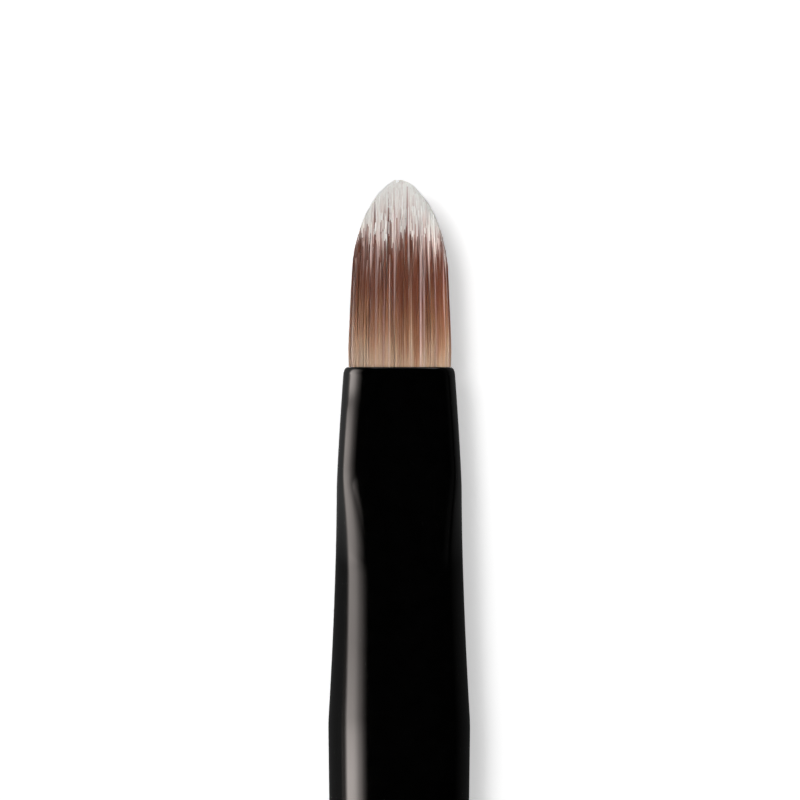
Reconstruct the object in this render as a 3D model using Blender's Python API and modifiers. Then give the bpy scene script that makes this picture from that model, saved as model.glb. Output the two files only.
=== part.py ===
"""Concealer brush: a domed tuft of fibres in a pressed metal ferrule, on a turned handle.

Units are metres. The brush lies along Y with its tuft towards +Y, and touches the plane Z = 0.
Every piece is modelled upright on the brush's own axis: there Z = 0 is the mouth of the ferrule,
+Z runs to the tip of the tuft, X is the wide way of the mouth, and a depth is measured back from
the mouth. One empty lays them all down.
"""
import math
import random

import bmesh
import bpy
from mathutils import Matrix

OBJECT_NAME = "concealer_brush"

# The whole brush
overall_length = 0.165
fit_gap = 0.0002
round_sides = 24
merge_distance = 0.00001
smooth_angle = math.radians(35)

# Ferrule: a tube that is pressed to an oval at its mouth, and round further back
ferrule_length = 0.038
ferrule_wall = 0.00028
rim_rounding = 0.00011
mouth_width = 0.00745
mouth_thickness = 0.00485
waist_width = 0.00836
waist_depth = 0.0082
pressed_depth = 0.0072
round_depth = 0.0130
flare_width = 0.00947
flare_depth = 0.0237
ferrule_end_width = 0.00912
press_power_share = 1.25
opening_power_share = 1.2
flare_power_share = 1.65
press_steps = 4
opening_steps = 4
flare_steps = 6
rim_segments = 2
rim_angle = math.radians(60)

# Rolled crimps, which hold the ferrule on the handle
crimp_count = 2
crimp_setback = 0.0034
crimp_spacing = 0.0024
crimp_width = 0.0013
crimp_sink = 0.00016
crimp_point_shares = (-1, -0.5, 0, 0.5, 1)

# Tuft: fibres that stand in rings on a thin slice of their backing
tuft_height = 0.01247
dome_height = 0.0058
strand_target_count = 400
strand_sides = 3
strand_seed = 7
mouth_gap = 0.00008
oval_steps = 360
slice_depth = 0.0015
slice_thickness = 0.0006
slice_gap = 0.0001
root_spread_share = 0.94
tip_width_share = 0.80
tip_thickness_share = 0.58
lean_power_share = 2.4
dome_power_share = 1.9
strand_radius_share = 0.38
strand_middle_share = 0.78
strand_middle_radius_share = 0.9
strand_length_vary_share = 0.03

# Root plug: the fibres' roots set in resin
plug_length = 0.0105
plug_steps = 4

# Handle
seam_gap = 0.0002
tenon_length = 0.0175
tenon_chamfer = 0.0005
tenon_steps = 12
shoulder_step = 0.00003
shoulder_rounding = 0.0002
tail_width = 0.0070
tail_rounding = 0.0012
rounding_steps = 4

half_step = math.pi / round_sides
flat_share = math.cos(half_step)
plug_depth = slice_depth + slice_thickness + fit_gap
crimp_depths = [ferrule_length - crimp_setback - step * crimp_spacing for step in range(crimp_count)][::-1]
shoulder_depth = ferrule_length + seam_gap
tail_depth = overall_length - tuft_height


def clear_scene():
    for item in list(bpy.data.objects):
        bpy.data.objects.remove(item, do_unlink=True)


def new_collection(name):
    collection = bpy.data.collections.new(name)
    bpy.context.scene.collection.children.link(collection)
    return collection


def new_material(name, colour, roughness, metallic):
    material = bpy.data.materials.new(name)
    material.use_nodes = True
    shader = material.node_tree.nodes["Principled BSDF"]
    shader.inputs["Base Color"].default_value = (*colour, 1)
    shader.inputs["Roughness"].default_value = roughness
    shader.inputs["Metallic"].default_value = metallic
    return material


def new_object(name, bm, collection, axis, material):
    """Make bm an object that stands on the brush's axis."""
    mesh = bpy.data.meshes.new(name)
    bm.to_mesh(mesh)
    bm.free()
    mesh.materials.append(material)
    item = bpy.data.objects.new(name, mesh)
    collection.objects.link(item)
    item.parent = axis
    return item


def shade_round(item):
    item.data.shade_smooth()
    item.data.set_sharp_from_angle(angle=smooth_angle)


def share_between(value, low, high):
    """How far value lies from low to high, kept from 0 to 1."""
    return min(max((value - low) / (high - low), 0), 1)


def spaced(start, end, count):
    """The ends and the points between them of a stretch that is cut into count equal parts."""
    return [start + (end - start) * step / count for step in range(count + 1)]


# Outside of the ferrule, as half sizes at a depth

def crimp_dip(depth):
    """How far the crimps sink the surface here: each is one smooth wave."""
    dip = 0
    for centre in crimp_depths:
        away = share_between(abs(depth - centre), 0, crimp_width / 2)
        dip += crimp_sink * (1 + math.cos(math.pi * away)) / 2
    return dip


def crimp_point_depths():
    return [centre + share * crimp_width / 2 for centre in crimp_depths for share in crimp_point_shares]


def half_width(depth):
    if depth < waist_depth:
        share = 1 - (1 - share_between(depth, 0, waist_depth)) ** press_power_share
        return (mouth_width + (waist_width - mouth_width) * share) / 2
    if depth < flare_depth:
        share = share_between(depth, waist_depth, flare_depth) ** flare_power_share
        return (waist_width + (flare_width - waist_width) * share) / 2
    share = share_between(depth, flare_depth, ferrule_length)
    return (flare_width + (ferrule_end_width - flare_width) * share) / 2


def half_thickness(depth):
    """The pressed stretch is evenly thick, and behind it the tube opens until it is round."""
    share = 1 - (1 - share_between(depth, pressed_depth, round_depth)) ** opening_power_share
    return mouth_thickness / 2 + (half_width(depth) - mouth_thickness / 2) * share


def outer_section(depth):
    dip = crimp_dip(depth)
    return -depth, half_width(depth) - dip, half_thickness(depth) - dip


def inner_section(depth, gap):
    """A section that stays clear of the ferrule's inside by gap."""
    inset = ferrule_wall + gap
    return -depth, half_width(depth) - inset, half_thickness(depth) - inset


# Lofts

def ring_edges(points):
    """The edges that join these points to each other."""
    ends = set(points)
    edges = [edge for point in points for edge in point.link_edges if edge.other_vert(point) in ends]
    return list(dict.fromkeys(edges))


def extrude_through(bm, places, sides):
    """Draw a unit ring at the first place and extrude it through the others. Gives both end rings."""
    first = bmesh.ops.create_circle(bm, segments=sides, radius=1, matrix=places[0])["verts"]
    points = first
    edges = ring_edges(first)
    for here, onward in zip(places, places[1:]):
        made = bmesh.ops.extrude_edge_only(bm, edges=edges)["geom"]
        points = [item for item in made if isinstance(item, bmesh.types.BMVert)]
        edges = ring_edges(points)
        bmesh.ops.transform(bm, matrix=onward @ here.inverted(), verts=points)
    return first, points


def section_place(section):
    """Where a unit ring becomes this oval, turned so that a flat of the round lies below."""
    z, half_x, half_y = section
    oval = Matrix.Diagonal((half_x, half_y, 1, 1))
    return Matrix.Translation((0, 0, z)) @ oval @ Matrix.Rotation(half_step, 4, "Z")


def loft(sections, closed):
    bm = bmesh.new()
    for ring in extrude_through(bm, [section_place(section) for section in sections], round_sides):
        if closed:
            bmesh.ops.edgeloop_fill(bm, edges=ring_edges(ring))
    bmesh.ops.recalc_face_normals(bm, faces=bm.faces)
    return bm


# Ferrule

def ferrule_depths():
    depths = spaced(0, pressed_depth, press_steps)
    depths += spaced(pressed_depth, round_depth, opening_steps)[1:]
    depths += spaced(round_depth, flare_depth, flare_steps)[1:]
    return depths + crimp_point_depths() + [ferrule_length]


def make_ferrule(parts, axis):
    lacquer = new_material("ferrule_lacquer", (0.001, 0.001, 0.001), 0.12, 0)
    bm = loft([outer_section(depth) for depth in ferrule_depths()], closed=False)
    ferrule = new_object("ferrule", bm, parts, axis, lacquer)
    wall = ferrule.modifiers.new("wall", "SOLIDIFY")
    wall.thickness = ferrule_wall
    wall.offset = -1
    wall.use_even_offset = True
    rims = ferrule.modifiers.new("rims", "BEVEL")
    rims.width = rim_rounding
    rims.segments = rim_segments
    rims.limit_method = "ANGLE"
    rims.angle_limit = rim_angle
    shade_round(ferrule)


# Root plug

def make_root_plug(parts, axis):
    resin = new_material("root_resin", (0.42, 0.30, 0.18), 0.45, 0)
    depths = spaced(plug_depth, pressed_depth, plug_steps)
    depths += spaced(pressed_depth, plug_depth + plug_length, plug_steps)[1:]
    bm = loft([inner_section(depth, fit_gap) for depth in depths], closed=True)
    shade_round(new_object("root_plug", bm, parts, axis, resin))


# Tuft

def oval_line(half_x, half_y):
    """A fine polyline round an oval, and the run along it to each of its corners."""
    turn = 2 * math.pi / oval_steps
    corners = [(half_x * math.cos(k * turn), half_y * math.sin(k * turn)) for k in range(oval_steps + 1)]
    run = [0]
    for start, end in zip(corners, corners[1:]):
        run.append(run[-1] + math.dist(start, end))
    return corners, run


def even_places(half_x, half_y, pitch):
    """Places about one pitch apart and evenly spaced round an oval."""
    corners, run = oval_line(half_x, half_y)
    count = int(run[-1] / pitch)
    places = []
    corner = 0
    for step in range(count):
        along = run[-1] * step / count
        while run[corner + 1] <= along:
            corner += 1
        share = share_between(along, run[corner], run[corner + 1])
        (x0, y0), (x1, y1) = corners[corner], corners[corner + 1]
        places.append((x0 + (x1 - x0) * share, y0 + (y1 - y0) * share))
    return places


def mouth_places(half_x, half_y, pitch):
    """Where the strands cross the mouth: rings one pitch apart, and a row along the middle."""
    places = []
    while half_y > pitch:
        places += even_places(half_x, half_y, pitch)
        half_x -= pitch
        half_y -= pitch
    row_end = half_x - pitch
    return places + [(x, 0) for x in spaced(-row_end, row_end, int(2 * row_end / pitch))]


def spread_shares(z):
    """The shares of their places at the mouth, in width and in thickness, that strands keep at z."""
    if z < 0:
        share = 1 - (1 - root_spread_share) * share_between(-z, 0, slice_depth)
        return share, share
    lean = (z / tuft_height) ** lean_power_share
    return 1 - (1 - tip_width_share) * lean, 1 - (1 - tip_thickness_share) * lean


def strand_places(x, y, levels):
    """Where a unit triangle becomes the strand's section, at each height and radius of levels."""
    turn = Matrix.Rotation(math.atan2(y, x), 4, "Z")
    places = []
    for z, radius in levels:
        share_x, share_y = spread_shares(z)
        move = Matrix.Translation((x * share_x, y * share_y, z))
        places.append(move @ turn @ Matrix.Diagonal((radius, radius, 1, 1)))
    return places


def strand_levels(tip, radius):
    """The heights at which a strand is drawn, from inside the slice to its tip, and its radii there."""
    middle = tip * strand_middle_share
    return [
        (-slice_depth - slice_thickness / 2, radius * root_spread_share),
        (0, radius),
        (middle, radius * strand_middle_radius_share * spread_shares(middle)[1]),
        (tip, 0),
    ]


def draw_strands():
    """The strands, each from inside the slice to the dome over the tuft, and drawn to a point."""
    _, reach_x, reach_y = inner_section(0, mouth_gap)
    pitch = math.sqrt(math.pi * reach_x * reach_y / strand_target_count)
    radius = pitch * strand_radius_share
    half_x, half_y = reach_x - radius, reach_y - radius
    chance = random.Random(strand_seed)
    bm = bmesh.new()
    for x, y in mouth_places(half_x, half_y, pitch):
        away = min((x / half_x) ** 2 + (y / half_y) ** 2, 1)
        under_tip = dome_height * (1 - (1 - away) ** (1 / dome_power_share))
        tip = (tuft_height - under_tip) * (1 - strand_length_vary_share * chance.random())
        places = strand_places(x, y, strand_levels(tip, radius))
        root_ring, tip_ring = extrude_through(bm, places, strand_sides)
        bmesh.ops.edgeloop_fill(bm, edges=ring_edges(root_ring))
        bmesh.ops.pointmerge(bm, verts=tip_ring, merge_co=tip_ring[0].co)
    bmesh.ops.recalc_face_normals(bm, faces=bm.faces)
    return bm


def make_tuft(parts, guides, axis):
    fibre = new_material("fibre", (0.45, 0.30, 0.21), 0.5, 0)
    strands = new_object("strand_guide", draw_strands(), guides, axis, fibre)
    strands.hide_render = True
    strands.display_type = "WIRE"
    _, half_x, half_y = inner_section(slice_depth, slice_gap)
    top = (-slice_depth, half_x, half_y)
    bottom = (-slice_depth - slice_thickness, half_x, half_y)
    tuft = new_object("bristle_tuft", loft([top, bottom], closed=True), parts, axis, fibre)
    fuse = tuft.modifiers.new("strands", "BOOLEAN")
    fuse.operation = "UNION"
    fuse.solver = "EXACT"
    fuse.object = strands


# Handle

def handle_half_width(depth):
    """A straight taper, from just inside the ferrule's end down to the tail."""
    front = ferrule_end_width / 2 - shoulder_step
    return front + (tail_width / 2 - front) * share_between(depth, shoulder_depth, tail_depth)


def tenon_points():
    """The tenon's outer side, top to bottom, grooved where the ferrule's crimps press into it."""
    top = shoulder_depth - tenon_length
    seats = [inner_section(depth, fit_gap) for depth in spaced(top, ferrule_length, tenon_steps)]
    radius = min(min(half_x, half_y) for _, half_x, half_y in seats)
    points = [(0, top), (radius - tenon_chamfer, top), (radius, top + tenon_chamfer)]
    points += [(radius - crimp_dip(depth), depth) for depth in crimp_point_depths()]
    return points + [(radius, shoulder_depth)]


def rounding_points(radius, depth, rounding, start, end):
    """An arc of this rounding round a centre at radius and depth, from one angle to another."""
    points = []
    for angle in spaced(start, end, rounding_steps):
        points.append((radius + rounding * math.cos(angle), depth + rounding * math.sin(angle)))
    return points


def handle_points():
    """The handle's whole outer side, top to bottom, as radii and depths."""
    quarter = math.pi / 2
    start, end = shoulder_depth + shoulder_rounding, tail_depth - tail_rounding
    shoulder_radius = handle_half_width(start) - shoulder_rounding
    tail_radius = handle_half_width(end) - tail_rounding
    points = tenon_points()
    points += rounding_points(shoulder_radius, start, shoulder_rounding, -quarter, 0)
    points += rounding_points(tail_radius, end, tail_rounding, 0, quarter)
    return points + [(0, tail_depth)]


def make_handle(parts, axis):
    lacquer = new_material("handle_lacquer", (0.001, 0.001, 0.001), 0.12, 0)
    bm = bmesh.new()
    points = [bm.verts.new((radius, 0, -depth)) for radius, depth in handle_points()]
    for start, end in zip(points, points[1:]):
        bm.edges.new((start, end))
    handle = new_object("handle", bm, parts, axis, lacquer)
    handle.rotation_euler.z = half_step
    turned = handle.modifiers.new("turned", "SCREW")
    turned.steps = round_sides
    turned.render_steps = round_sides
    turned.use_merge_vertices = True
    turned.merge_threshold = merge_distance
    turned.use_smooth_shade = True


def main():
    clear_scene()
    parts = new_collection(OBJECT_NAME)
    guides = new_collection("guides")
    axis = bpy.data.objects.new("brush_axis", None)
    parts.objects.link(axis)
    axis.location = (0, overall_length / 2 - tuft_height, flare_width / 2 * flat_share)
    axis.rotation_euler.x = -math.pi / 2
    make_tuft(parts, guides, axis)
    make_root_plug(parts, axis)
    make_ferrule(parts, axis)
    make_handle(parts, axis)


main()
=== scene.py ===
"""Looks of the concealer brush: its fibres, its lacquered surfaces, and a pale studio round it.

Units are metres. The brush lies along Y with its tuft towards +Y. A depth is measured back from the
mouth of the ferrule along the brush's axis, and a height forward from it.
"""

import math

import bpy
import numpy as np
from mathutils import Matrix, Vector


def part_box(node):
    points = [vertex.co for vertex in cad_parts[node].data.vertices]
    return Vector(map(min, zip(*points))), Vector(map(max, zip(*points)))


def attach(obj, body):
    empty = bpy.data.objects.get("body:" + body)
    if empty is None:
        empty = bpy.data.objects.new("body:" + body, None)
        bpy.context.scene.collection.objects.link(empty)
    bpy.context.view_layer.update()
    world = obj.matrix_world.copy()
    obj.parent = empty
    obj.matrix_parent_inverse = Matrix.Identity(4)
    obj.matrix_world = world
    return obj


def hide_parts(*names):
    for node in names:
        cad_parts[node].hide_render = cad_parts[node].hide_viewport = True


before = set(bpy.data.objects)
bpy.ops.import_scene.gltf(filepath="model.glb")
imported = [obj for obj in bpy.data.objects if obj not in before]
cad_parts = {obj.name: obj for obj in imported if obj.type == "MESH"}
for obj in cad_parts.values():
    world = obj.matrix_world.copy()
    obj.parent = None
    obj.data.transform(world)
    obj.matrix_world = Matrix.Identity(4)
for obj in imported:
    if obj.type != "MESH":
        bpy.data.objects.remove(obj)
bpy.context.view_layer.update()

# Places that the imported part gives
ferrule_low, ferrule_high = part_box("ferrule")
mouth_y = ferrule_high.y
tail_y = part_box("handle")[0].y
tip_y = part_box("bristle_tuft")[1].y
axis_z = (ferrule_low.z + ferrule_high.z) / 2
ferrule_length = ferrule_high.y - ferrule_low.y
tuft_height = tip_y - mouth_y

# Ferrule
ferrule_wall = 0.00028
mouth_width = 0.00741
mouth_thickness = 0.00485
waist_width = 0.00836
waist_depth = 0.0082
pressed_depth = 0.0072
round_depth = 0.0130
flare_width = 0.00947
flare_depth = 0.0237
ferrule_end_width = 0.00912
press_power_share = 1.25
opening_power_share = 1.2
flare_power_share = 1.65
crease_softness = 0.0005
crease_samples = 9
mouth_roll = 0.0005
mouth_outer_rounding = 0.00025
end_outer_rounding = 0.00012
ring_spacing = 0.00025
shell_sides = 160

# Crimps
crimp_centres = (0.0322, 0.0346)
crimp_width = 0.0013
crimp_sink = 0.00016

# Handle
seam = 0.00004
tenon_length = 0.0175
tenon_chamfer = 0.0005
tenon_gap = 0.0002
shoulder_step = 0.00003
shoulder_rounding = 0.0002
tail_width = 0.0070
tail_rounding = 0.0012
taper_ring_spacing = 0.004
rounding_steps = 8

# Tuft
fibre_layers = ("tuft_fibres_lower", "tuft_fibres_middle", "tuft_fibres_upper")
fibre_count = 2600
fibre_sides = 6
fibre_radius = 0.00005
fibre_radius_range_share = (0.88, 1.1)
fibre_root_depth = 0.0022
place_scatter_share = 0.35
tuft_width = 0.00693
tuft_thickness = 0.00425
tuft_offset = 0.00005
mouth_draw_share = 0.018
mouth_swell = 0.0006
dome_height = 0.0066
dome_power_share = 2.2
dome_point_share = 0.60
dome_rise = 0.00008
lean_power_share = 1.2
tip_width_share = 0.86
thinning_power_share = 2.4
tip_thickness_share = 0.58
level_shares = (0, 0.2, 0.38, 0.5, 0.58, 0.65, 0.72, 0.78, 0.84, 0.89, 0.93, 0.965, 0.99, 1)
radius_shares = (1, 1, 1, 1, 1, 1, 1, 1, 1, 0.97, 0.93, 0.87, 0.7, 0.45)
tip_rise = 0.00006
tip_scatter = 0.00009
tip_overlap = 0.0015
edge_overlap = 0.0002
outline_ridges = 22
outline_scatter = 0.00005
surface_scatter_share = 0.04
lock_count = 400
lock_pull_share = 0.66
lock_pull_range_share = (0.7, 1.1)
lock_peak_share = 0.6
lock_rise_power_share = 1.5
lock_fall_power_share = 1.2
fibre_bow = 0.00004
band_count = 100
map_columns = 64
map_margin_share = 0.06
map_cap_share = (0.2, 0.02)

# Colours of the tuft
pale_height = 0.00865
pale_side_places_share = (-1, -0.5, 0, 0.4, 1)
pale_side_rises = (0.0002, 0.0003, 0.0009, 0.0, -0.0012)
pale_lock_scatter = 0.0005
pale_fibre_scatter = 0.0006
# Inner fibres stay dyed higher up and change more crisply: painted shade in the gaps between locks
inner_painted_shade_rise = 0.0028
pale_skin_share = 0.25
pale_least_length = 0.0012
pale_softness = (0.0013, 0.0032)
pale_inner_crispness_share = 0.4
pale_centre_share = 0.6
pale_centre_softness_share = 0.8
long_pale_share = 0.18
long_pale_reach = (0.0006, 0.0028)
long_pale_softness = (0.0025, 0.0045)
tone_scatter = 0.0006
band_shade_share = 0.10
lock_shade_share = 0.15
fibre_shade_share = 0.12
# Painted light across the tuft: the far left edge darker, the left third and above all the right side
# lighter
painted_side_light_places_share = (-1, -0.93, -0.8, -0.5, 0.2, 0.6, 0.85, 1)
painted_side_light_shares = (0.9, 1.0, 1.13, 1.16, 1.02, 1.4, 1.52, 1.65)
# Painted light by height: darker in the pale stretch below the tips, lighter at the tips
painted_tip_light_places_share = (0.6, 0.72, 0.8, 0.92, 1)
painted_tip_light_shares = (1, 0.87, 0.89, 1.0, 1.05)
fine_places_share = (0, 0.35, 0.62, 0.8, 0.9)
fine_shades_share = (0.3, 0.7, 0.9, 0.3, 0.05)
fine_limits_share = (-0.45, 0.4)
# How much the random bands and the painted side light count at each height
wide_places_share = (0, 0.4, 0.62, 0.82)
wide_shades_share = (0.55, 0.9, 0.6, 0)
band_limits_share = (-0.25, 0.25)
least_shade_share = 0.2
# Lilac streaks on some fibres: partly fibres paler than the rest, partly a painted sheen
lighter_fibre_and_sheen_share = 0.13
lighter_fibre_and_sheen_most_share = 0.4
lighter_fibre_and_sheen_range_share = (0.3, 1)
tuft_seed = 13

# Backing of the tuft
backing_depth = 0.0015
backing_thickness = 0.0006
backing_gap = 0.0001
backing_sides = 64
backing_sharp_degrees = 40

# Photograph's framing, with the lens and the sensor in millimetres
view_height = 0.05333
view_centre_x = 0.0000533
view_centre_y = 0.06783
lens = 200
sensor = 36


# Shapes

def share_between(value, low, high):
    """How far value is on the way from low to high, from 0 to 1."""
    return min(max((value - low) / (high - low), 0), 1)


def spaced(start, end, spacing):
    """Evenly spaced values from start to end, no further apart than spacing."""
    return list(np.linspace(start, end, int(math.ceil(abs(end - start) / spacing)) + 1))


def turns(sides):
    """Evenly spaced angles round a full turn."""
    return np.arange(sides) * 2 * math.pi / sides


def half_width(depth):
    """Half the ferrule's outer width at a depth: it widens to the flare, and narrows a little behind it."""
    if depth < waist_depth:
        share = 1 - (1 - share_between(depth, 0, waist_depth)) ** press_power_share
        return (mouth_width + (waist_width - mouth_width) * share) / 2
    if depth < flare_depth:
        share = share_between(depth, waist_depth, flare_depth) ** flare_power_share
        return (waist_width + (flare_width - waist_width) * share) / 2
    share = share_between(depth, flare_depth, ferrule_length)
    return (flare_width + (ferrule_end_width - flare_width) * share) / 2


def half_thickness(depth):
    """Half the ferrule's outer thickness: even where it is pressed, then opening until it is round."""
    share = 1 - (1 - share_between(depth, pressed_depth, round_depth)) ** opening_power_share
    return mouth_thickness / 2 + (half_width(depth) - mouth_thickness / 2) * share


def softened(size, depth):
    """A half size with its creases eased over a short stretch."""
    around = np.linspace(-crease_softness, crease_softness, crease_samples)
    return float(np.mean([size(min(max(depth + step, 0), ferrule_length)) for step in around]))


def crimp_dip(depth):
    """How far the crimps sink the surface at a depth."""
    dip = 0
    for centre in crimp_centres:
        away = share_between(abs(depth - centre), 0, crimp_width / 2)
        dip += crimp_sink * (1 + math.cos(math.pi * away)) / 2
    return dip


def oval_ring(depth, half_x, half_z, sides):
    """Points round an oval that is centred on the brush's axis."""
    turn = turns(sides)
    x = half_x * np.cos(turn)
    z = axis_z + half_z * np.sin(turn)
    return np.stack([x, np.full(sides, mouth_y - depth), z], axis=1)


def ring_faces(ring_count, sides, wrapped):
    """Quads between successive rings, and from the last back to the first if they are wrapped."""
    here = np.arange(ring_count if wrapped else ring_count - 1)
    onward = (here + 1) % ring_count
    side = np.arange(sides)
    beside = (side + 1) % sides
    corners = [
        here[:, None] * sides + side,
        onward[:, None] * sides + side,
        onward[:, None] * sides + beside,
        here[:, None] * sides + beside,
    ]
    return np.stack(corners, axis=-1).reshape(-1, 4)


def capped_faces(ring_count, sides):
    """Quads between successive rings, and a face that closes each end."""
    last = (ring_count - 1) * sides
    faces = ring_faces(ring_count, sides, wrapped=False).tolist()
    faces.append(list(range(sides))[::-1])
    faces.append([last + side for side in range(sides)])
    return faces


def new_piece(name, points, faces, material, slot_name, *nodes):
    """A smooth piece that rides on the brush and stands for these nodes."""
    mesh = bpy.data.meshes.new(name)
    mesh.from_pydata(points.tolist(), [], [list(map(int, face)) for face in faces])
    mesh.validate()
    mesh.materials.append(material)
    mesh.shade_smooth()
    mesh.update()
    piece = bpy.data.objects.new(name, mesh)
    bpy.context.scene.collection.objects.link(piece)
    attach(piece, "root")
    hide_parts(*nodes)
    return piece


def arc(rounding, start, end):
    """Offsets along a quarter of a round edge: how far in from the face, and how far in from the end."""
    steps = np.linspace(start, end, rounding_steps + 1)
    return [(rounding * (1 - math.cos(a)), rounding * (1 - math.sin(a))) for a in steps]


def make_ferrule(material):
    """A closed shell: its outer side from the mouth to the end, and its bore back to the mouth."""
    inner_rounding = ferrule_wall - mouth_outer_rounding
    end_inner_rounding = ferrule_wall - end_outer_rounding
    quarter = math.pi / 2
    sections = []

    def add(depth, inset):
        held = min(max(depth, 0), ferrule_length)
        dip = crimp_dip(held)
        half_x = softened(half_width, held) - dip - inset
        half_z = softened(half_thickness, held) - dip - inset
        sections.append((depth, half_x, half_z))

    for inset, back in arc(mouth_outer_rounding, quarter, 0):
        add(back * mouth_roll / mouth_outer_rounding, inset)
    for depth in spaced(mouth_roll, ferrule_length - end_outer_rounding, ring_spacing)[1:]:
        add(depth, 0)
    for inset, back in arc(end_outer_rounding, 0, quarter)[1:]:
        add(ferrule_length - back, inset)
    for inset, back in arc(end_inner_rounding, quarter, 0)[1:]:
        add(ferrule_length - back, ferrule_wall - inset)
    for depth in spaced(ferrule_length - end_inner_rounding, inner_rounding, 2 * ring_spacing)[1:]:
        add(depth, ferrule_wall)
    for inset, back in arc(inner_rounding, 0, quarter)[1:-1]:
        add(back, ferrule_wall - inset)
    rings = [oval_ring(*section, shell_sides) for section in sections]
    faces = ring_faces(len(rings), shell_sides, wrapped=True)
    new_piece("ferrule_shell", np.concatenate(rings), faces, material, "ferrule_lacquer", "ferrule")


def handle_half_width(depth):
    """Half the handle's width at a depth, on a straight taper from the ferrule to the tail."""
    front = ferrule_end_width / 2 - shoulder_step
    tail_depth = mouth_y - tail_y
    return front + (tail_width / 2 - front) * share_between(depth, ferrule_length, tail_depth)


def handle_profile():
    """Depths and radii down the handle's outer side."""
    shoulder_depth = ferrule_length + seam
    tail_depth = mouth_y - tail_y
    top = shoulder_depth - tenon_length
    seats = [half_thickness(depth) for depth in spaced(top, ferrule_length, ring_spacing)]
    tenon_radius = min(seats) - ferrule_wall - tenon_gap
    points = [(top, tenon_radius - tenon_chamfer), (top + tenon_chamfer, tenon_radius)]
    for depth in spaced(crimp_centres[0] - crimp_width, crimp_centres[-1] + crimp_width, ring_spacing / 2):
        points.append((depth, tenon_radius - crimp_dip(depth)))
    points.append((shoulder_depth, tenon_radius))
    start = shoulder_depth + shoulder_rounding
    end = tail_depth - tail_rounding
    for inset, back in arc(shoulder_rounding, math.pi / 2, 0):
        points.append((shoulder_depth + back, handle_half_width(start) - inset))
    points += [(depth, handle_half_width(depth)) for depth in spaced(start, end, taper_ring_spacing)[1:]]
    for inset, back in arc(tail_rounding, 0, math.pi / 2)[1:]:
        points.append((tail_depth - back, handle_half_width(end) - inset))
    return points


def make_handle(material):
    rings = [oval_ring(depth, radius, radius, shell_sides) for depth, radius in handle_profile()]
    faces = capped_faces(len(rings), shell_sides)
    new_piece("handle_turned", np.concatenate(rings), faces, material, "handle_lacquer", "handle")


# Tuft

def reach(height):
    """The half sizes within which fibres are centred at a height, before the dome cuts them."""
    share = np.clip(height / tuft_height, 0, 1)
    lean = 1 - (1 - tip_width_share) * share ** lean_power_share
    lean -= mouth_draw_share * (1 - np.clip(height / mouth_swell, 0, 1)) ** 2
    thinning = 1 - (1 - tip_thickness_share) * share ** thinning_power_share
    return (tuft_width / 2 - fibre_radius) * lean, (tuft_thickness / 2 - fibre_radius) * thinning


def dome_radius(height):
    """The share of its half sizes that the dome leaves the tuft at a height."""
    down = np.clip((tuft_height + dome_rise - height) / dome_height, 0, 1)
    return (1 - (1 - down) ** dome_power_share) ** dome_point_share


def dome_tip(radius):
    """The height at which the dome, or its level top, cuts a fibre at this share of the half sizes."""
    left = np.clip(1 - radius ** (1 / dome_point_share), 0, 1)
    down = dome_height * (1 - left ** (1 / dome_power_share))
    return np.minimum(tuft_height + dome_rise - down, tuft_height)


def disk_places(count, chance):
    """Places in a disk of radius 1, a golden angle apart and then scattered a little."""
    step = np.arange(count) + 0.5
    radius = np.sqrt(step / count)
    turn = step * math.pi * (3 - math.sqrt(5))
    places = np.stack([radius * np.cos(turn), radius * np.sin(turn)], axis=1)
    places += chance.normal(0, place_scatter_share / math.sqrt(count), places.shape)
    return places / np.maximum(np.linalg.norm(places, axis=1), 1)[:, None]


def nearest(places, centres):
    """Which of the centres each place is nearest to."""
    return np.linalg.norm(places[:, None] - centres[None], axis=2).argmin(axis=1)


def lock_gather(share):
    """How far fibres are gathered into locks at a share of the tuft's height: most below the pale tips."""
    rise = np.clip(share / lock_peak_share, 0, 1) ** lock_rise_power_share
    fall = np.clip((share - lock_peak_share) / (1 - lock_peak_share), 0, 1)
    return rise * (1 - fall) ** lock_fall_power_share


def draw_lines(chance, roots, radius, locks, lock):
    """Centre lines, radii and heights of the fibres, as arrays of fibre by level."""
    count = len(roots)
    ridge = np.clip((roots[:, 0] + 1) / 2 * outline_ridges, 0, outline_ridges - 1).astype(int)
    rise = (outline_scatter * chance.normal(0, 1, outline_ridges))[ridge]
    highest = np.minimum(dome_tip(np.abs(roots[:, 0])) + edge_overlap + rise, tuft_height)
    tips = np.minimum(dome_tip(radius) + chance.exponential(tip_overlap, count), highest)
    tips += tip_rise - tip_scatter * chance.uniform(0, 1, count)
    heights = -fibre_root_depth + (tips + fibre_root_depth)[:, None] * np.array(level_shares)

    pull = lock_pull_share * chance.uniform(*lock_pull_range_share, len(locks))[lock]
    gather = lock_gather(np.clip(heights / tuft_height, 0, 1)) * pull[:, None]
    places = roots[:, None] + (locks[lock] - roots)[:, None] * gather[..., None]
    roughness = surface_scatter_share * chance.uniform(0, 1, (count, 1))
    skin = dome_radius(heights - rise[:, None]) * (1 - roughness)
    across = np.clip(places[..., 0], -skin, skin)
    room = np.sqrt(skin ** 2 - across ** 2)
    up = np.clip(places[..., 1], -room, room)

    half_x, half_z = reach(heights)
    bow = np.sin(math.pi * np.array(level_shares)) * chance.normal(0, fibre_bow, (count, 1))
    lines = [tuft_offset + across * half_x + bow, mouth_y + heights, axis_z + up * half_z]
    radii = fibre_radius * chance.uniform(*fibre_radius_range_share, (count, 1)) * np.array(radius_shares)
    return np.stack(lines, axis=-1), radii, heights


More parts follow.
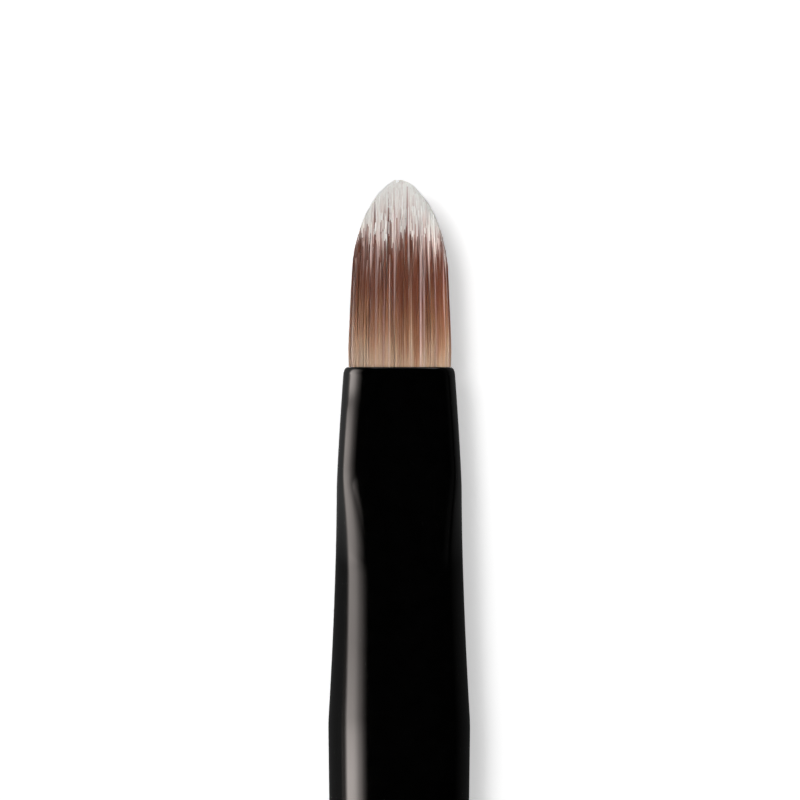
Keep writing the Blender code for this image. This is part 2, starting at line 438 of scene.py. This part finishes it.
def draw_pale(chance, roots, radius, heights, lock):
    """Where each fibre turns pale: below 0 it is still dyed, and from 1 on it is pale."""
    count = len(radius)
    skin = dome_radius(pale_height)
    inside = np.clip((skin - radius) / pale_skin_share, 0, 1)
    side_rise = np.interp(roots[:, 0], pale_side_places_share, pale_side_rises)
    # Inner fibres turn pale higher up: painted shade in the gaps between the locks
    start = pale_height + inner_painted_shade_rise * inside + side_rise
    scatter = chance.normal(0, pale_lock_scatter, lock_count)[lock]
    scatter += chance.normal(0, pale_fibre_scatter, count)
    start += scatter
    centre = np.clip(1 - np.abs(roots[:, 0]) / pale_centre_share, 0, 1)
    softness = chance.uniform(*pale_softness, count) * (1 - pale_inner_crispness_share * inside)
    softness *= 1 + pale_centre_softness_share * centre
    start = np.where(inside > 0, np.minimum(start, heights[:, -1] - pale_least_length - softness), start)
    long_pale = chance.uniform(0, 1, count) < long_pale_share
    start -= long_pale * chance.uniform(*long_pale_reach, count)
    softness = np.where(long_pale, chance.uniform(*long_pale_softness, count), softness)
    return (heights - start[:, None]) / softness[:, None]


def draw_shades(chance, heights, across, lock, band):
    """Brightness along the fibres: random fine and wide differences, and painted light across the tuft and
    at the tips.
    """
    share = heights / tuft_height
    # Painted light across the tuft, weighted by height together with the random bands
    side = np.interp(across, painted_side_light_places_share, painted_side_light_shares)[:, None] - 1
    bands = band_shade_share * chance.normal(0, 1, band_count)[band]
    locks = lock_shade_share * chance.normal(0, 1, lock_count)[lock]
    fibres = fibre_shade_share * chance.normal(0, 1, len(heights))
    fine = np.interp(share, fine_places_share, fine_shades_share)
    wide = np.interp(share, wide_places_share, wide_shades_share)
    shades = 1 + np.clip(locks + fibres, *fine_limits_share)[:, None] * fine
    shades = shades + np.clip(bands, *band_limits_share)[:, None] * wide
    shades = np.maximum(shades + side * wide, least_shade_share)
    # Painted light at the tips, and painted shade just below them
    return shades * np.interp(share, painted_tip_light_places_share, painted_tip_light_shares)


def draw_fibres(chance):
    """Centre lines, radii and colour values of all the fibres, as arrays of fibre by level."""
    roots = disk_places(fibre_count, chance)
    locks = disk_places(lock_count, chance)
    lock = nearest(roots, locks)
    band = nearest(roots, disk_places(band_count, chance))
    radius = np.minimum(np.linalg.norm(roots, axis=1), 1)
    lines, radii, heights = draw_lines(chance, roots, radius, locks, lock)
    shift = chance.normal(0, tone_scatter, lock_count)[lock]
    shift += chance.normal(0, tone_scatter / 2, fibre_count)
    # Some fibres mixed towards lilac: partly paler fibres, partly a painted sheen
    bloom = lighter_fibre_and_sheen_most_share * chance.uniform(*lighter_fibre_and_sheen_range_share, fibre_count)
    bloom *= chance.uniform(0, 1, fibre_count) < lighter_fibre_and_sheen_share
    values = {
        "tone": (heights + shift[:, None]) / tuft_height,
        "pale": draw_pale(chance, roots, radius, heights, lock),
        "shade": draw_shades(chance, heights, roots[:, 0], lock, band),
        "bloom": np.repeat(bloom[:, None], len(level_shares), axis=1),
    }
    return lines, radii, values


def add_point_values(piece, name, values):
    """Values that the mesh carries at its points, for its material to read."""
    layer = piece.data.attributes.new(name, "FLOAT", "POINT")
    layer.data.foreach_set("value", values.astype(np.float32).ravel())


def unwrap_fibres(piece, count):
    """A map with a cell for each fibre: its tube fills the cell, and its caps lie in the margins."""
    ring = np.arange(len(level_shares) - 1).repeat(fibre_sides)
    side = np.tile(np.arange(fibre_sides), len(level_shares) - 1)
    across = np.stack([side, side, side + 1, side + 1], axis=1) / fibre_sides
    along = np.array(level_shares)[np.stack([ring, ring + 1, ring + 1, ring], axis=1)]
    tube = map_margin_share + (1 - 2 * map_margin_share) * np.stack([across, along], axis=-1)
    turn = turns(fibre_sides)
    cap = np.stack([np.cos(turn), np.sin(turn)], axis=1) * map_cap_share
    rows = math.ceil(count / map_columns)
    cells = np.stack([np.arange(count) % map_columns, np.arange(count) // map_columns], axis=1)
    root_cap = cap + (0.5, map_margin_share / 2)
    tip_cap = cap + (0.5, 1 - map_margin_share / 2)
    places = []
    for outline in (tube.reshape(-1, 2), root_cap, tip_cap):
        places.append((cells[:, None] + outline).reshape(-1, 2) / (map_columns, rows))
    layer = piece.data.uv_layers.new(name="OFBake")
    layer.uv.foreach_set("vector", np.concatenate(places).astype(np.float32).ravel())


def make_fibres(name, lines, radii, values, material):
    """One piece of many fibres, each a tapered tube with closed ends."""
    count, levels = radii.shape
    turn = turns(fibre_sides)
    round_about = np.stack([np.cos(turn), np.zeros(fibre_sides), np.sin(turn)], axis=1)
    points = lines[:, :, None] + radii[..., None, None] * round_about
    tube = ring_faces(levels, fibre_sides, wrapped=False)
    first = np.arange(count) * levels * fibre_sides
    quads = (first[:, None, None] + tube).reshape(-1, 4)
    root_ring = np.arange(fibre_sides)[::-1]
    tip_ring = np.arange(fibre_sides) + (levels - 1) * fibre_sides
    caps = np.concatenate([first[:, None] + root_ring, first[:, None] + tip_ring])
    faces = quads.tolist() + caps.tolist()
    piece = new_piece(name, points.reshape(-1, 3), faces, material, "fibre", "bristle_tuft")
    unwrap_fibres(piece, count)
    for value_name, amounts in values.items():
        add_point_values(piece, value_name, np.repeat(amounts[..., None], fibre_sides, axis=2))


def make_tuft(material):
    """The fibres in layers from the bottom to the top of the tuft, each layer a piece."""
    lines, radii, values = draw_fibres(np.random.default_rng(tuft_seed))
    layers = np.array_split(np.argsort(lines[:, 0, 2]), len(fibre_layers))
    for name, chosen in zip(fibre_layers, layers):
        chosen_values = {value_name: amounts[chosen] for value_name, amounts in values.items()}
        make_fibres(name, lines[chosen], radii[chosen], chosen_values, material)


def make_backing(material):
    """The slice of resin that the fibres are fused to, inside the ferrule's mouth."""
    inset = ferrule_wall + backing_gap
    rings = []
    for depth in (backing_depth, backing_depth + backing_thickness):
        half_x = half_width(depth) - inset
        half_z = half_thickness(depth) - inset
        rings.append(oval_ring(depth, half_x, half_z, backing_sides))
    faces = capped_faces(len(rings), backing_sides)
    backing = new_piece("tuft_backing", np.concatenate(rings), faces, material, "root_resin", "bristle_tuft")
    backing.data.set_sharp_from_angle(angle=math.radians(backing_sharp_degrees))


# Materials

# Span in which most of a noise lies
noise_span = (0.3, 0.7)

# Colours are from 0 to 255 as on a screen, but the lacquer's greys and the sheen's tint are light values
lacquer_stops = ((0.35, (0.0003,) * 3), (0.7, (0.0006,) * 3))
lacquer_cloud_scale = 900
lacquer_cloud_detail = 3.0
lacquer_roughness = (0.085, 0.125)
lacquer_ripple_scale = 350
lacquer_ripple_detail = 1.0
lacquer_ripple_strength = 0.04
lacquer_ripple_height = 0.0001
lacquer_refraction = 1.5
dyed_stops = (
    (0.0, (169, 142, 121)),
    (0.09, (160, 128, 103)),
    (0.14, (144, 105, 80)),
    (0.22, (124, 83, 58)),
    (0.30, (116, 73, 49)),
    (0.40, (96, 51, 32)),
    (0.55, (90, 46, 29)),
    (0.72, (108, 64, 48)),
)
# Lilac of the streaks: partly paler fibres, partly a painted sheen
lighter_fibre_and_sheen_colour = (208, 188, 187)
blush_colour = (197, 168, 160)
blush_span = (-0.35, 0.6)
pale_colour = (238, 235, 229)
pale_span = (0.4, 1.5)
fibre_grain_scale = 2500
fibre_grain_stretch = (1, 0.15, 1)
fibre_roughness = (0.32, 0.5)
fibre_settings = {
    "Subsurface Weight": 0.5,
    "Subsurface Radius": (1.0, 0.85, 0.8),
    "Subsurface Scale": 0.00015,
    "IOR": 1.38,
    "Sheen Weight": 0.15,
    "Sheen Roughness": 0.5,
    "Sheen Tint": (1.0, 0.89, 0.88, 1),
}
resin_stops = ((0.3, (150, 112, 70)), (0.7, (186, 150, 104)))
resin_cloud_scale = 700
resin_cloud_detail = 4.0
resin_roughness = (0.3, 0.5)
resin_grain_scale = 3000
resin_grain_strength = 0.2
resin_grain_height = 0.00005


def linear(colour):
    """A screen's colour, in the light values that shaders take, by the usual sRGB curve."""
    shares = [value / 255 for value in colour]
    return tuple(s / 12.92 if s < 0.04045 else ((s + 0.055) / 1.055) ** 2.4 for s in shares)


def linear_stops(stops):
    """Stops for a colour ramp, from stops with a screen's colours."""
    return [(place, linear(colour)) for place, colour in stops]


def new_material(name):
    """A material, its nodes and its main shader."""
    material = bpy.data.materials.new(name)
    material.use_nodes = True
    tree = material.node_tree
    return material, tree, tree.nodes["Principled BSDF"]


def add_ramp(tree, source, stops):
    """A colour ramp that reads source. Each stop is a position and a linear colour."""
    ramp = tree.nodes.new("ShaderNodeValToRGB")
    elements = ramp.color_ramp.elements
    for place, colour in stops[2:]:
        elements.new(place)
    for element, (place, colour) in zip(elements, stops):
        element.position = place
        element.color = (*colour, 1)
    tree.links.new(source, ramp.inputs["Fac"])
    return ramp.outputs["Color"]


def add_range(tree, source, low, high, from_low=0.0, from_high=1.0):
    """Values from low to high, as the source goes from from_low to from_high, and no further."""
    node = tree.nodes.new("ShaderNodeMapRange")
    node.inputs["From Min"].default_value = from_low
    node.inputs["From Max"].default_value = from_high
    node.inputs["To Min"].default_value = low
    node.inputs["To Max"].default_value = high
    tree.links.new(source, node.inputs["Value"])
    return node.outputs["Result"]


def add_noise(tree, scale, stretch=(1, 1, 1), detail=2.0):
    """Noise over the piece's own coordinates, finer along an axis whose stretch is larger."""
    coordinates = tree.nodes.new("ShaderNodeTexCoord")
    mapping = tree.nodes.new("ShaderNodeMapping")
    mapping.inputs["Scale"].default_value = stretch
    noise = tree.nodes.new("ShaderNodeTexNoise")
    noise.inputs["Scale"].default_value = scale
    noise.inputs["Detail"].default_value = detail
    tree.links.new(coordinates.outputs["Object"], mapping.inputs["Vector"])
    tree.links.new(mapping.outputs["Vector"], noise.inputs["Vector"])
    return noise.outputs["Fac"]


def add_bump(tree, shader, height, strength, distance):
    """Small differences of height that only the shading shows."""
    bump = tree.nodes.new("ShaderNodeBump")
    bump.inputs["Strength"].default_value = strength
    bump.inputs["Distance"].default_value = distance
    tree.links.new(height, bump.inputs["Height"])
    tree.links.new(bump.outputs["Normal"], shader.inputs["Normal"])


def lacquer_material(name):
    """Deep black gloss lacquer, with the faint unevenness of a dipped coat."""
    material, tree, shader = new_material(name)
    cloud = add_noise(tree, lacquer_cloud_scale, detail=lacquer_cloud_detail)
    tree.links.new(add_ramp(tree, cloud, lacquer_stops), shader.inputs["Base Color"])
    tree.links.new(add_range(tree, cloud, *lacquer_roughness, *noise_span), shader.inputs["Roughness"])
    ripple = add_noise(tree, lacquer_ripple_scale, detail=lacquer_ripple_detail)
    add_bump(tree, shader, ripple, lacquer_ripple_strength, lacquer_ripple_height)
    shader.inputs["IOR"].default_value = lacquer_refraction
    return material


def read_value(tree, name):
    """A value that the mesh carries at its points."""
    node = tree.nodes.new("ShaderNodeAttribute")
    node.attribute_name = name
    return node.outputs["Fac"]


def mixed(tree, amount, first, second):
    """Two colours mixed, where either is a socket or a fixed linear colour."""
    node = tree.nodes.new("ShaderNodeMix")
    node.data_type = "RGBA"
    tree.links.new(amount, node.inputs["Factor"])
    # Its sockets for colours share their names with others, so they are found by identifier
    sockets = {socket.identifier: socket for socket in (*node.inputs, *node.outputs)}
    for identifier, colour in (("A_Color", first), ("B_Color", second)):
        if isinstance(colour, tuple):
            sockets[identifier].default_value = (*colour, 1)
        else:
            tree.links.new(colour, sockets[identifier])
    return sockets["Result_Color"]


def fibre_material():
    """Dyed fibre: tan at the root, brown in the middle and off-white at the tip."""
    material, tree, shader = new_material("fibre")
    dyed = add_ramp(tree, read_value(tree, "tone"), linear_stops(dyed_stops))
    # Lilac streaks, partly paler fibres and partly a painted sheen
    dyed = mixed(tree, read_value(tree, "bloom"), dyed, linear(lighter_fibre_and_sheen_colour))
    pale = read_value(tree, "pale")
    blushed = mixed(tree, add_range(tree, pale, 0, 1, *blush_span), dyed, linear(blush_colour))
    colour = mixed(tree, add_range(tree, pale, 0, 1, *pale_span), blushed, linear(pale_colour))
    # The shade values scale the colour: random tone, and painted light across the tuft and at the tips
    scale = tree.nodes.new("ShaderNodeVectorMath")
    scale.operation = "SCALE"
    tree.links.new(colour, scale.inputs[0])
    tree.links.new(read_value(tree, "shade"), scale.inputs["Scale"])
    tree.links.new(scale.outputs["Vector"], shader.inputs["Base Color"])
    grain = add_noise(tree, fibre_grain_scale, stretch=fibre_grain_stretch)
    tree.links.new(add_range(tree, grain, *fibre_roughness, *noise_span), shader.inputs["Roughness"])
    for name, value in fibre_settings.items():
        shader.inputs[name].default_value = value
    return material


def resin_material():
    """Amber resin that the fibres are set in, a little cloudy."""
    material, tree, shader = new_material("root_resin")
    cloud = add_noise(tree, resin_cloud_scale, detail=resin_cloud_detail)
    tree.links.new(add_ramp(tree, cloud, linear_stops(resin_stops)), shader.inputs["Base Color"])
    tree.links.new(add_range(tree, cloud, *resin_roughness, *noise_span), shader.inputs["Roughness"])
    grain = add_noise(tree, resin_grain_scale)
    add_bump(tree, shader, grain, resin_grain_strength, resin_grain_height)
    return material


# Studio

stage_names = ("floor", "backdrop", "light_card", "flag")
stage_sides = 96
floor_radius = 2.0
backdrop_height = 0.5
floor_diffuse = 0.94
floor_bounce = 0.6
floor_glow = 0.473
floor_evening_start = 0.10
floor_evening_end = 0.45
key_power = 1.38
key_offset = (-0.118, 0.108, 0.48)
key_size = 0.145
fill_power = 1.5
fill_offset = (0.35, 0, 0.42)
fill_size = 0.5
ambient_level = 0.16
card_x = -0.025
card_low = -0.002
card_high = 0.0300
card_length = 0.24
card_radiance = (7.6, 6.9, 6.57)
flag_reach = 0.045
flag_near = 0.0052
flag_height = 0.0005

# Light card: its levels along Y, and up Z beside the pressed front and the round back of the ferrule
card_along_places = (
    0.035, 0.041, 0.047, 0.052, 0.058, 0.060, 0.062, 0.066, 0.068, 0.069, 0.0698, 0.0725, 0.078, 0.09,
)
card_along_levels = (1.05, 1.05, 0.70, 0.5, 0.52, 0.62, 0.56, 0.68, 0.55, 0.27, 0.9, 1.0, 0.75, 0)
card_lift_places = (0.046, 0.058, 0.0682, 0.069, 0.0712, 0.0728)
card_lifts = (0.0035, 0, 0, 0.0014, 0.0014, 0)
card_front_heights = (-0.002, 0.001, 0.003, 0.0064, 0.0094, 0.0121, 0.0147, 0.0172, 0.0190)
card_front_levels = (0.05, 0.25, 0.9, 0.88, 0.70, 0.37, 0.15, 0.05, 0)
card_back_heights = (0.0004, 0.0018, 0.0032, 0.0075, 0.0097, 0.0119, 0.0139, 0.0160, 0.0181, 0.0203, 0.0227)
card_back_levels = (0.05, 0.3, 0.95, 1.0, 0.93, 0.68, 0.45, 0.31, 0.14, 0.05, 0)
card_fade_span = (0.0545, 0.061)

# Flags: their levels behind and beside the pressed front, which change from near to far along an axis
flag_fade_span = (0.057, 0.062)
left_flag = {"back": 0.062, "front": 0.24, "axis": "X", "near": -0.008, "far": -0.024, "far_share": 2.2}
right_flag = {"back": 0.032, "front": 0.11, "axis": "X", "near": 0.012, "far": 0.030, "far_share": 0}
wall_flag = {"back": 0, "front": 0.03, "axis": "Z", "near": 0.006, "far": 0.012, "far_share": 0}


def stage_piece(name, points, faces, material):
    """A piece of the studio, which is no part of the brush."""
    mesh = bpy.data.meshes.new(name)
    mesh.from_pydata(points, [], faces)
    mesh.materials.append(material)
    piece = bpy.data.objects.new(name, mesh)
    bpy.context.scene.collection.objects.link(piece)
    return piece


def gloss_sheet(name, corners, material):
    """A sheet that shows in gloss alone, as a card or a flag beside the camera's view does."""
    sheet = stage_piece(name, corners, [[0, 1, 2, 3]], material)
    sheet.visible_camera = False
    sheet.visible_diffuse = False
    sheet.visible_transmission = False
    sheet.visible_volume_scatter = False
    sheet.visible_shadow = False


def calculated(tree, operation, first, second):
    """What a math node makes of two sockets."""
    node = tree.nodes.new("ShaderNodeMath")
    node.operation = operation
    tree.links.new(first, node.inputs[0])
    tree.links.new(second, node.inputs[1])
    return node.outputs["Value"]


def seen_rays(tree):
    """1 for camera, glossy and transmission rays, and 0 for the rays that light surfaces."""
    path = tree.nodes.new("ShaderNodeLightPath")
    total = path.outputs["Is Camera Ray"]
    for name in ("Is Glossy Ray", "Is Transmission Ray"):
        total = calculated(tree, "MAXIMUM", total, path.outputs[name])
    return total


def bare_material(name):
    """A material with nothing in it but its output."""
    material = bpy.data.materials.new(name)
    material.use_nodes = True
    tree = material.node_tree
    tree.nodes.clear()
    return material, tree, tree.nodes.new("ShaderNodeOutputMaterial")


def paper_material():
    """Pale paper that keeps shadows near the brush and glows evenly further out."""
    material, tree, output = bare_material("pale_paper")
    both = tree.nodes.new("ShaderNodeAddShader")
    diffuse = tree.nodes.new("ShaderNodeBsdfDiffuse")
    glow = tree.nodes.new("ShaderNodeEmission")
    place = tree.nodes.new("ShaderNodeNewGeometry")
    length = tree.nodes.new("ShaderNodeVectorMath")
    length.operation = "LENGTH"
    tree.links.new(place.outputs["Position"], length.inputs[0])
    near = add_range(tree, length.outputs["Value"], floor_diffuse, 0, floor_evening_start, floor_evening_end)
    near = calculated(tree, "MULTIPLY", near, add_range(tree, seen_rays(tree), floor_bounce, 1))
    far = add_range(tree, length.outputs["Value"], floor_glow, 1, floor_evening_start, floor_evening_end)
    tree.links.new(near, diffuse.inputs["Color"])
    tree.links.new(calculated(tree, "MULTIPLY", far, seen_rays(tree)), glow.inputs["Strength"])
    tree.links.new(diffuse.outputs["BSDF"], both.inputs[0])
    tree.links.new(glow.outputs["Emission"], both.inputs[1])
    tree.links.new(both.outputs["Shader"], output.inputs["Surface"])
    return material


def glow_material(name):
    """A material that only glows, with its glow left to be set."""
    material, tree, output = bare_material(name)
    glow = tree.nodes.new("ShaderNodeEmission")
    tree.links.new(glow.outputs["Emission"], output.inputs["Surface"])
    return material, tree, glow


def split_place(tree):
    """The X, Y and Z of a surface's points."""
    place = tree.nodes.new("ShaderNodeNewGeometry")
    split = tree.nodes.new("ShaderNodeSeparateXYZ")
    tree.links.new(place.outputs["Position"], split.inputs["Vector"])
    return split.outputs


def grey_ramp(tree, source, places, levels):
    """Grey levels at these places, read from a source in the same unit."""
    low, high = places[0], places[-1]
    stops = [((place - low) / (high - low), (level,) * 3) for place, level in zip(places, levels)]
    return add_ramp(tree, add_range(tree, source, 0, 1, low, high), stops)


def card_material():
    """The light card: lower beside the pressed stretch of the ferrule, and uneven along its length."""
    material, tree, glow = glow_material("light_card")
    place = split_place(tree)
    lift = grey_ramp(tree, place["Y"], card_lift_places, card_lifts)
    height = calculated(tree, "SUBTRACT", place["Z"], lift)
    front = grey_ramp(tree, height, card_front_heights, card_front_levels)
    back = grey_ramp(tree, height, card_back_heights, card_back_levels)
    fade = mixed(tree, add_range(tree, place["Y"], 0, 1, *card_fade_span), back, front)
    along = grey_ramp(tree, place["Y"], card_along_places, card_along_levels)
    tint = tree.nodes.new("ShaderNodeVectorMath")
    tint.operation = "SCALE"
    tint.inputs[0].default_value = card_radiance
    tree.links.new(calculated(tree, "MULTIPLY", fade, along), tint.inputs["Scale"])
    tree.links.new(tint.outputs["Vector"], glow.inputs["Color"])
    return material


def flag_material(name, back, front, axis, near, far, far_share):
    """A dark flag, paler beside the pressed front, whose level changes from near to far along an axis."""
    material, tree, glow = glow_material(name)
    place = split_place(tree)
    along = add_range(tree, place["Y"], back, front, *flag_fade_span)
    across = add_range(tree, place[axis], 1, far_share, near, far)
    tree.links.new(calculated(tree, "MULTIPLY", along, across), glow.inputs["Strength"])
    return material


def floor_height(y):
    """The floor's height below the brush, which lies on its flare and on its tail."""
    flare_y = mouth_y - flare_depth
    flare_z = axis_z - flare_width / 2
    rest_y = tail_y + tail_rounding
    rest_z = axis_z - handle_half_width(mouth_y - rest_y)
    return flare_z + (rest_z - flare_z) * (flare_y - y) / (flare_y - rest_y)


def upright_corners(x, low, high):
    """Corners of a sheet that stands along the brush."""
    side = card_length / 2
    return [(x, -side, low), (x, side, low), (x, side, high), (x, -side, high)]


def lying_corners(near, far):
    """Corners of a sheet that lies just above the floor along the brush."""
    side = card_length / 2
    corners = ((near, -side), (near, side), (far, side), (far, -side))
    return [(x, y, floor_height(y) + flag_height) for x, y in corners]


def make_stage():
    """The floor with a wall round it, and the card and the flags that show in the lacquer."""
    paper = paper_material()
    edge = [(floor_radius * math.sin(a), floor_radius * math.cos(a)) for a in turns(stage_sides)]
    floor_points = [(x, y, floor_height(y)) for x, y in edge]
    wall_points = floor_points + [(x, y, floor_height(y) + backdrop_height) for x, y in edge]
    here = list(range(stage_sides))
    beside = here[1:] + here[:1]
    wall_faces = [(a, b, b + stage_sides, a + stage_sides) for a, b in zip(here, beside)]
    stage_piece("floor", floor_points, [here[::-1]], paper)
    stage_piece("backdrop", wall_points, wall_faces, paper)

    card = upright_corners(card_x, card_low, card_high)
    left = lying_corners(-flag_near, card_x)
    right = lying_corners(flag_near, flag_reach)
    upright = upright_corners(flag_reach, 0, flag_reach)
    gloss_sheet("light_card", card, card_material())
    gloss_sheet("flag_left", left, flag_material("left_flag", **left_flag))
    gloss_sheet("flag_right", right, flag_material("right_flag", **right_flag))
    gloss_sheet("flag_wall", upright, flag_material("wall_flag", **wall_flag))


def add_lamp(name, offset, size, power):
    """A soft square lamp that faces the brush, and doesn't show in its gloss."""
    data = bpy.data.lights.new(name, "AREA")
    data.shape = "SQUARE"
    data.size = size
    data.energy = power
    lamp = bpy.data.objects.new(name, data)
    bpy.context.scene.collection.objects.link(lamp)
    lamp.location = Vector((0, mouth_y, axis_z)) + Vector(offset)
    lamp.rotation_euler = (-Vector(offset)).to_track_quat("-Z", "Y").to_euler()
    lamp.visible_glossy = False
    return lamp


def light_only(lamp, pieces):
    """This lamp lights these pieces alone, so that the floor keeps a single shadow."""
    group = bpy.data.collections.new(lamp.name + "_receivers")
    for piece in pieces:
        group.objects.link(piece)
    lamp.light_linking.receiver_collection = group


def make_lights():
    """A key lamp, a fill lamp for the brush alone, and an even light from all round."""
    world = bpy.data.worlds.new("studio")
    bpy.context.scene.world = world
    world.use_nodes = True
    tree = world.node_tree
    background = tree.nodes["Background"]
    path = tree.nodes.new("ShaderNodeLightPath")
    ambient = add_range(tree, path.outputs["Is Diffuse Ray"], 0, ambient_level)
    tree.links.new(ambient, background.inputs["Strength"])
    background.inputs["Color"].default_value = (1, 1, 1, 1)
    add_lamp("key", key_offset, key_size, key_power)
    meshes = [item for item in bpy.context.scene.objects if item.type == "MESH"]
    brush = [item for item in meshes if not item.name.startswith(stage_names)]
    light_only(add_lamp("fill", fill_offset, fill_size, fill_power), brush)


def make_camera():
    """A camera that looks straight down on the brush, framed as the photograph is."""
    data = bpy.data.cameras.new("camera")
    data.lens = lens
    data.sensor_width = sensor
    camera = bpy.data.objects.new("camera", data)
    bpy.context.scene.collection.objects.link(camera)
    camera.location = (view_centre_x, view_centre_y, axis_z + view_height * lens / sensor)
    bpy.context.scene.camera = camera


def main():
    make_camera()
    resin = resin_material()
    make_ferrule(lacquer_material("ferrule_lacquer"))
    make_handle(lacquer_material("handle_lacquer"))
    make_tuft(fibre_material())
    make_backing(resin)
    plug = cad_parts["root_plug"]
    plug.data.materials.clear()
    plug.data.materials.append(resin)
    make_stage()
    make_lights()
    bpy.context.scene.view_settings.view_transform = "Standard"


main()
